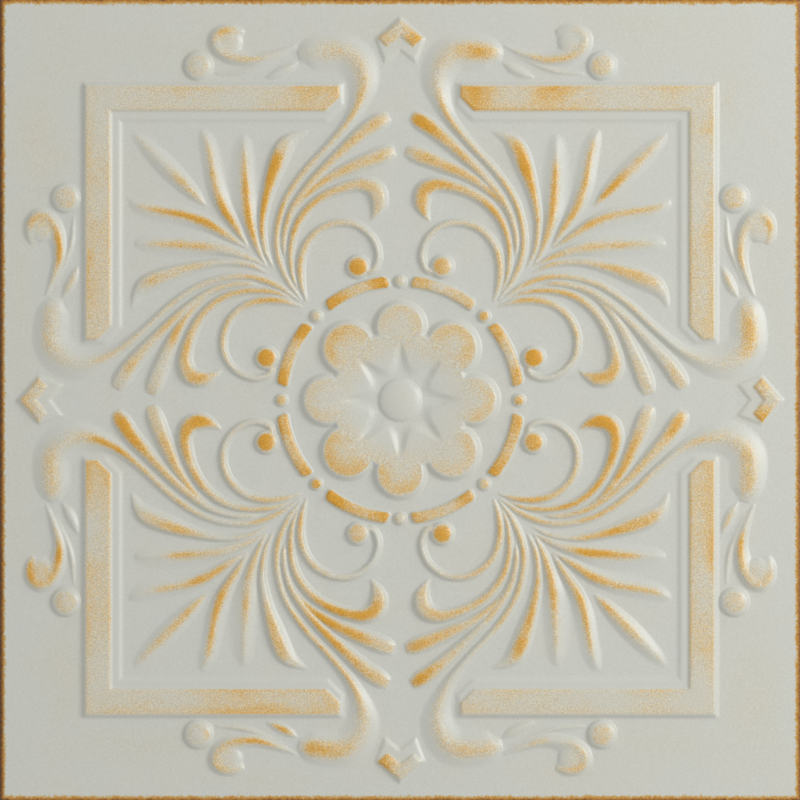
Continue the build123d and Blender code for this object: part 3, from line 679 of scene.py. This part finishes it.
def grid_mesh():
    """Closed mesh: the ornamented face, the sides and the flat back."""
    top = np.stack([*np.meshgrid(grid_line, grid_line, indexing="ij"), Z], axis=-1).reshape(-1, 3)
    index = np.arange(count * count).reshape(count, count)
    faces = np.stack([index[:-1, :-1], index[1:, :-1], index[1:, 1:], index[:-1, 1:]], axis=-1)
    loop = np.concatenate([index[:-1, 0], index[-1, :-1], index[:0:-1, -1], index[0, :0:-1]])
    side = top[loop].copy()
    side[:, 2] = FOOT_CHAMFER
    foot = top[loop].copy()
    foot[:, 2] = 0
    foot[:, :2] = np.clip(foot[:, :2], FOOT_CHAMFER - SIDE / 2, SIDE / 2 - FOOT_CHAMFER)
    size = len(loop)
    side_index = count * count + np.arange(size)
    foot_index = side_index + size
    walls = [
        np.stack([above, below, np.roll(below, -1), np.roll(above, -1)], axis=-1)
        for above, below in ((loop, side_index), (side_index, foot_index))
    ]
    quads = np.vstack([faces.reshape(-1, 4), *walls])
    verts = np.vstack([top, side, foot]) * MM
    mesh = bpy.data.meshes.new("tile_grid")
    mesh.vertices.add(len(verts))
    mesh.vertices.foreach_set("co", verts.ravel())
    corners = np.concatenate([quads.ravel(), foot_index[::-1]])
    starts = np.append(np.arange(len(quads)) * 4, len(quads) * 4)
    mesh.loops.add(len(corners))
    mesh.loops.foreach_set("vertex_index", corners)
    mesh.polygons.add(len(starts))
    mesh.polygons.foreach_set("loop_start", starts)
    mesh.update(calc_edges=True)
    mesh.validate()
    return mesh


def thin_out(mesh):
    """The same form with fewer triangles, fewest where it is flat."""
    carrier = bpy.data.objects.new("tile_grid", mesh)
    bpy.context.scene.collection.objects.link(carrier)
    mesh.calc_loop_triangles()
    thin = carrier.modifiers.new("thin", "DECIMATE")
    thin.ratio = min(1.0, MOST_TRIANGLES / len(mesh.loop_triangles))
    graph = bpy.context.evaluated_depsgraph_get()
    result = bpy.data.meshes.new_from_object(carrier.evaluated_get(graph))
    bpy.data.objects.remove(carrier)
    bpy.data.meshes.remove(mesh)
    return result


def sample(field, places):
    """Values of a map at places in mm, between its lines."""
    before = [np.clip(np.searchsorted(grid_line, places[:, a]) - 1, 0, count - 2) for a in (0, 1)]
    i, j = before
    s, t = (
        np.clip((places[:, a] - grid_line[k]) / (grid_line[k + 1] - grid_line[k]), 0, 1)
        for a, k in enumerate(before)
    )
    return (
        field[i, j] * (1 - s) * (1 - t) + field[i + 1, j] * s * (1 - t)
        + field[i, j + 1] * (1 - s) * t + field[i + 1, j + 1] * s * t
    )


# The sides and the back lie below this height. The edge's normals lean out by STEEPEST at the most.
SIDES_BELOW = THICKNESS - EDGE_ROUND - 0.05
STEEPEST = 0.999


def set_normals(mesh, places):
    """Smooth normals from the height map on the face, and flat ones on the sides and back."""
    slope_x, slope_y = np.gradient(THICKNESS + height, grid_line, grid_line)
    normals = np.stack([-sample(slope_x, places), -sample(slope_y, places), np.ones(len(places))], -1)
    lean = np.clip((np.abs(places[:, :2]) - FLAT_HALF) / EDGE_ROUND, 0, STEEPEST)
    for axis in (0, 1):
        rounded = (lean[:, axis] > 0) & (lean[:, axis] >= lean[:, 1 - axis])
        normals[rounded] = 0
        normals[rounded, axis] = np.sign(places[rounded, axis]) * lean[rounded, axis]
        normals[rounded, 2] = np.sqrt(1 - lean[rounded, axis] ** 2)
    normals /= np.linalg.norm(normals, axis=1)[:, None]
    corner_verts = np.empty(len(mesh.loops), int)
    mesh.loops.foreach_get("vertex_index", corner_verts)
    face_normals = np.empty(len(mesh.polygons) * 3)
    mesh.polygons.foreach_get("normal", face_normals)
    face_normals = face_normals.reshape(-1, 3)
    totals = np.empty(len(mesh.polygons), int)
    mesh.polygons.foreach_get("loop_total", totals)
    owner = np.repeat(np.arange(len(totals)), totals)
    is_flat = np.zeros(len(totals), bool)
    np.logical_or.at(is_flat, owner, places[corner_verts, 2] < SIDES_BELOW)
    corner_normals = np.where(is_flat[owner][:, None], face_normals[owner], normals[corner_verts])
    mesh.polygons.foreach_set("use_smooth", np.ones(len(totals), bool))
    mesh.normals_split_custom_set(corner_normals)


def linear(red, green, blue):
    """Linear colour from sRGB numbers of 0 to 255."""
    channels = [value / 255 for value in (red, green, blue)]
    return [c / 12.92 if c <= 0.04045 else ((c + 0.055) / 1.055) ** 2.4 for c in channels] + [1.0]


CREAM = linear(205, 207, 199)
CREAM_WARM = linear(209, 205, 193)
HAZE = linear(211, 197, 158)
GOLD = linear(226, 181, 84)
GOLD_DEEP = linear(214, 156, 46)
FOAM = linear(222, 221, 215)
FLOOR = linear(214, 213, 210)
FLOOR_PALE = linear(218, 217, 214)
# Brown that the rim darkens to: painted shade along the left edge, and a darker edge at the right
RIM_DARK = linear(84, 48, 16)
# The rim's colours from its outer edge inwards, as shares of RIM_SPAN
RIM_STOPS = [
    (0.00, linear(76, 45, 20)),
    (0.22, linear(106, 64, 24)),
    (0.36, linear(152, 98, 34)),
    (0.48, linear(182, 124, 44)),
    (0.62, linear(198, 144, 60)),
    (0.72, linear(201, 168, 102)),
    (0.82, linear(201, 193, 170)),
    (0.92, CREAM),
]

# Painted rim, in mm from the tile's edge: where its colours run, where they end, how far the inner
# edge wanders, how much wider the rim is at the left and right, and where it is darkest there: at the
# left this is painted shade, as the rounded left edge faces away from the lamp, and at the right a darker
# edge
RIM_SPAN = (-2.0, 4.0)
RIM_END = (2.8, 4.0)
RIM_RAGGED = 1.0
RIM_TEETH = 1.2
RIM_SPECKS = 0.8
RIM_SIDES = 12.0
RIM_WIDER = 0.3
RIM_WIDER_LEFT = 1.0
LEFT_SHADE_SPAN = (1.0, 3.8)
LEFT_SHADE_DEPTH = 0.85
RIGHT_DARK = (2.2, 0.4)
RIGHT_DARKNESS = 0.6
# The sides are bare foam up to about this height in mm
BARE = (0.8, 1.6)

# Noises in the paint: scale for places in metres, detail
GRAIN = (1300, 1.5)
COARSE = (260, 2.0)
BLOTCH = (26, 3.0)
DUST = (1050, 1.0)
TOOTH = (620, 2.0)
BUMP = (1400, 2.0)
FLOOR_NOISE = (3.0, 2.0)
CELL_SCALE = 420.0
SPECKLE_MARGIN = 0.3
GRAIN_MARGIN = 0.28
# What a noise does to a shade or to the roughness: factor, and what is added
GRAIN_SHADE = (0.1, 0.95)
FOAM_SHADE = (0.06, 0.95)
DARK_SHADE = (0.7, 0.5)
GRAIN_ROUGHNESS = (0.1, 0.30)
FINE_BUMP = {"Strength": 0.35, "Distance": 0.12 * MM}
CELL_BUMP = {"Strength": 0.25, "Distance": 0.15 * MM}
MOTTLE = 0.45

# Gold wash: the grain thins the haze, and holds the full cover back until the wash is strong
COARSE_SHARE = 0.16
HAZE_STRENGTH = 1.6
HAZE_GRAIN = 1.3
HELD_WASH = 1.2
HELD_GRAIN = 0.62
COVER_SPAN = (-0.1, 0.82)
DEEP_SPAN = (0.15, 0.85)
FAINT_WASH = (0.02, 0.25)
DUSTY_WASH = (0.02, 0.4)
DUST_DEPTH = 0.3


class Nodes:
    """Short ways to add and join shader nodes."""

    def __init__(self, material):
        material.use_nodes = True
        self.tree = material.node_tree
        self.tree.nodes.clear()

    def add(self, kind, settings=(), **inputs):
        """Node with its inputs by name, or by number as i0, i1 and so on."""
        node = self.tree.nodes.new(kind)
        for name, value in settings:
            setattr(node, name, value)
        for name, value in inputs.items():
            numbered = name[0] == "i" and name[1:].isdigit()
            socket = int(name[1:]) if numbered else name.replace("_", " ")
            self.put(node.inputs[socket], value)
        return node

    def put(self, socket, value):
        if isinstance(value, bpy.types.NodeSocket):
            self.tree.links.new(value, socket)
        else:
            socket.default_value = value

    def math(self, operation, a, b=0.0, clamp=False):
        node = self.add("ShaderNodeMath", [("operation", operation), ("use_clamp", clamp)], i0=a, i1=b)
        return node.outputs[0]

    def scaled(self, value, factor, added):
        """Value times a factor, and something added."""
        return self.math("ADD", self.math("MULTIPLY", value, factor), added)

    def wander(self, value, reach):
        """Share from 0 to 1 as a shift to both sides of 0, over that reach in all."""
        return self.math("MULTIPLY", self.math("SUBTRACT", value, 0.5), reach)

    def ramp(self, value, start, end, at_start=0.0, at_end=1.0, smooth=True):
        settings = [("interpolation_type", "SMOOTHSTEP" if smooth else "LINEAR")]
        node = self.add("ShaderNodeMapRange", settings, i0=value, i1=start, i2=end, i3=at_start, i4=at_end)
        return node.outputs[0]

    def mix(self, share, a, b):
        node = self.add("ShaderNodeMix", [("data_type", "RGBA")], i0=share, i6=a, i7=b)
        return node.outputs[2]

    def shade(self, colour, factor):
        node = self.add("ShaderNodeVectorMath", [("operation", "SCALE")], i0=colour, Scale=factor)
        return node.outputs[0]

    def noise(self, place, scale, detail):
        return self.add("ShaderNodeTexNoise", Vector=place, Scale=scale, Detail=detail).outputs[0]

    def speckle(self, place, scale, detail, margin=SPECKLE_MARGIN):
        """Noise stretched to run from 0 to 1."""
        return self.ramp(self.noise(place, scale, detail), margin, 1 - margin, smooth=False)


def metres(lengths):
    """Lengths in mm as metres."""
    return [length * MM for length in lengths]


def cream_paint(n, grain, blotch):
    """Cream paint, a little mottled."""
    cream = n.mix(n.math("MULTIPLY", blotch, MOTTLE), CREAM, CREAM_WARM)
    return n.shade(cream, n.scaled(grain, *GRAIN_SHADE))


def gold_paint(n, under, place, grain, coarse):
    """Dry-brushed gold: a thin haze, and grains that join up where the wash is strong."""
    wash = n.add("ShaderNodeAttribute", [("attribute_name", "gold")]).outputs["Fac"]
    grains = n.math("MULTIPLY", grain, 1 - COARSE_SHARE)
    grains = n.math("ADD", grains, n.math("MULTIPLY", coarse, COARSE_SHARE))
    haze = n.math("MULTIPLY", wash, n.scaled(grains, -HAZE_GRAIN, HAZE_STRENGTH), clamp=True)
    held = n.math("MULTIPLY", wash, HELD_WASH)
    held = n.math("SUBTRACT", held, n.math("MULTIPLY", grains, HELD_GRAIN))
    cover = n.math("MULTIPLY", n.ramp(held, *COVER_SPAN), n.ramp(wash, *FAINT_WASH))
    tone = n.mix(n.ramp(held, *DEEP_SPAN), GOLD, GOLD_DEEP)
    painted = n.mix(cover, n.mix(haze, under, HAZE), tone)
    dust = n.wander(n.speckle(place, *DUST), n.ramp(wash, *DUSTY_WASH, 0.0, DUST_DEPTH))
    return n.shade(painted, n.math("ADD", dust, 1.0))


def rim_paint(n, under, place, parts, grain, coarse):
    """Brown-gold rim, fading inwards with a ragged inner edge, with painted shade at its left edge."""
    edge = SIDE / 2 * MM
    outwards = n.math("MAXIMUM", n.math("ABSOLUTE", parts["X"]), n.math("ABSOLUTE", parts["Y"]))
    inwards = n.math("SUBTRACT", edge, outwards)
    sides, wider, wider_left = metres((RIM_SIDES, RIM_WIDER, RIM_WIDER_LEFT))
    left = n.ramp(parts["X"], -edge, sides - edge, -wider_left, -wider)
    right = n.ramp(parts["X"], edge - sides, edge, 0.0, -wider)
    depth = n.math("ADD", inwards, n.math("ADD", left, right))
    tooth = n.speckle(place, *TOOTH)
    for value, reach in ((coarse, RIM_RAGGED), (tooth, RIM_TEETH), (grain, RIM_SPECKS)):
        depth = n.math("ADD", depth, n.wander(value, reach * MM))

    colours = n.add("ShaderNodeValToRGB", Fac=n.ramp(depth, *metres(RIM_SPAN), smooth=False))
    elements = colours.color_ramp.elements
    while len(elements) < len(RIM_STOPS):
        elements.new(0.5)
    for element, (position, colour) in zip(elements, RIM_STOPS):
        element.position = position
        element.color = colour
    # Painted shade darkens the left edge, which faces away from the lamp; the right edge is darker too
    shade_on_left = n.ramp(parts["X"], *(length - edge for length in metres(LEFT_SHADE_SPAN)), LEFT_SHADE_DEPTH, 0.0)
    on_right = n.ramp(parts["X"], *(edge - length for length in metres(RIGHT_DARK)), 0.0, RIGHT_DARKNESS)
    left_shade_right_dark = n.math("ADD", shade_on_left, on_right)
    left_shade_right_dark = n.math("MULTIPLY", left_shade_right_dark, n.scaled(coarse, *DARK_SHADE), clamp=True)
    on_rim = n.ramp(depth, *metres(RIM_END), 1.0, 0.0)
    return n.mix(on_rim, under, n.mix(left_shade_right_dark, colours.outputs[0], RIM_DARK))


def foam_paint():
    """Off-white painted foam with a gold dry-brush wash, a painted rim and a bare back."""
    material = bpy.data.materials.new("painted_foam")
    n = Nodes(material)
    place = n.add("ShaderNodeTexCoord").outputs["Object"]
    parts = n.add("ShaderNodeSeparateXYZ", Vector=place).outputs
    grain = n.speckle(place, *GRAIN, GRAIN_MARGIN)
    coarse = n.speckle(place, *COARSE)
    painted = cream_paint(n, grain, n.speckle(place, *BLOTCH))
    painted = gold_paint(n, painted, place, grain, coarse)
    painted = rim_paint(n, painted, place, parts, grain, coarse)

    # The paint ends raggedly on the sides, and the back is bare foam
    ragged = n.math("ADD", parts["Z"], n.wander(coarse, RIM_RAGGED * MM))
    foam = n.shade(FOAM[:3], n.scaled(coarse, *FOAM_SHADE))
    colour = n.mix(n.ramp(ragged, *metres(BARE), 1.0, 0.0), painted, foam)

    fine = n.add("ShaderNodeBump", Height=n.noise(place, *BUMP), **FINE_BUMP).outputs[0]
    cells = n.add("ShaderNodeTexVoronoi", [("feature", "F1")], Vector=place, Scale=CELL_SCALE)
    relief = n.add("ShaderNodeBump", Height=cells.outputs["Distance"], Normal=fine, **CELL_BUMP).outputs[0]
    roughness = n.scaled(grain, *GRAIN_ROUGHNESS)
    shader = n.add("ShaderNodeBsdfPrincipled", Base_Color=colour, Roughness=roughness, Normal=relief)
    n.add("ShaderNodeOutputMaterial", Surface=shader.outputs[0])
    return material


mesh = thin_out(grid_mesh())
mesh.name = "ceiling_tile_face"
tile = bpy.data.objects.new("moulded_tile", mesh)
bpy.context.scene.collection.objects.link(tile)
places = np.empty(len(mesh.vertices) * 3)
mesh.vertices.foreach_get("co", places)
places = places.reshape(-1, 3) / MM
attribute = mesh.attributes.new("gold", "FLOAT", "POINT")
attribute.data.foreach_set("value", sample(gold, places).astype(np.float32))
set_normals(mesh, places)
mesh.materials.append(foam_paint())
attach(tile, "root")
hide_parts("ceiling_tile")
print("triangles", len(mesh.polygons))


FLOOR_HALF = 4.0
FLOOR_GAP = 0.3
FLOOR_ROUGHNESS = 0.8
LAMP_AZIMUTH = 18
LAMP_ELEVATION = 38
LAMP_DISTANCE = 2.4
LAMP_SIZE = 1.25
LAMP_POWER = 30
WORLD_STRENGTH = 0.60


def floor():
    """Plain pale floor just under the tile."""
    plane = bpy.data.meshes.new("floor")
    corners = [(-1, -1), (1, -1), (1, 1), (-1, 1)]
    places = [(FLOOR_HALF * x, FLOOR_HALF * y, -FLOOR_GAP * MM) for x, y in corners]
    plane.from_pydata(places, [], [(0, 1, 2, 3)])
    material = bpy.data.materials.new("floor_paint")
    n = Nodes(material)
    place = n.add("ShaderNodeTexCoord").outputs["Object"]
    colour = n.mix(n.noise(place, *FLOOR_NOISE), FLOOR, FLOOR_PALE)
    shader = n.add("ShaderNodeBsdfPrincipled", Base_Color=colour, Roughness=FLOOR_ROUGHNESS)
    n.add("ShaderNodeOutputMaterial", Surface=shader.outputs[0])
    plane.materials.append(material)
    obj = bpy.data.objects.new("floor", plane)
    bpy.context.scene.collection.objects.link(obj)


def lamp(name, azimuth, elevation, distance, size, power):
    """Square soft light that looks at the tile's centre, placed by its angles in degrees."""
    data = bpy.data.lights.new(name, "AREA")
    data.shape = "SQUARE"
    data.size = size
    data.energy = power
    obj = bpy.data.objects.new(name, data)
    across = distance * cos(radians(elevation))
    obj.location = (
        across * cos(radians(azimuth)),
        across * sin(radians(azimuth)),
        distance * sin(radians(elevation)),
    )
    away = obj.location.normalized()
    obj.rotation_euler = away.to_track_quat("Z", "Y").to_euler()
    bpy.context.scene.collection.objects.link(obj)


floor()
lamp("key_light", LAMP_AZIMUTH, LAMP_ELEVATION, LAMP_DISTANCE, LAMP_SIZE, LAMP_POWER)
world = bpy.data.worlds.new("studio")
world.use_nodes = True
background = world.node_tree.nodes["Background"]
background.inputs["Color"].default_value = (1.0, 1.0, 1.0, 1.0)
background.inputs["Strength"].default_value = WORLD_STRENGTH
bpy.context.scene.world = world

# The camera looks straight down on the tile. Its view ends VIEW_INSET inside the tile's outline, which
# lies at the foot of the rounded edge.
CAMERA_HEIGHT = 2.6
SENSOR = 36.0
VIEW_INSET = 0.4
view_side = (SIDE - 2 * VIEW_INSET) * MM
outline_height = (THICKNESS - EDGE_ROUND) * MM
camera_data = bpy.data.cameras.new("camera")
camera_data.sensor_width = SENSOR
camera_data.lens = SENSOR * (CAMERA_HEIGHT - outline_height) / view_side
camera = bpy.data.objects.new("camera", camera_data)
camera.location = (0, 0, CAMERA_HEIGHT)
bpy.context.scene.collection.objects.link(camera)
bpy.context.scene.camera = camera
bpy.context.scene.view_settings.view_transform = "Standard"
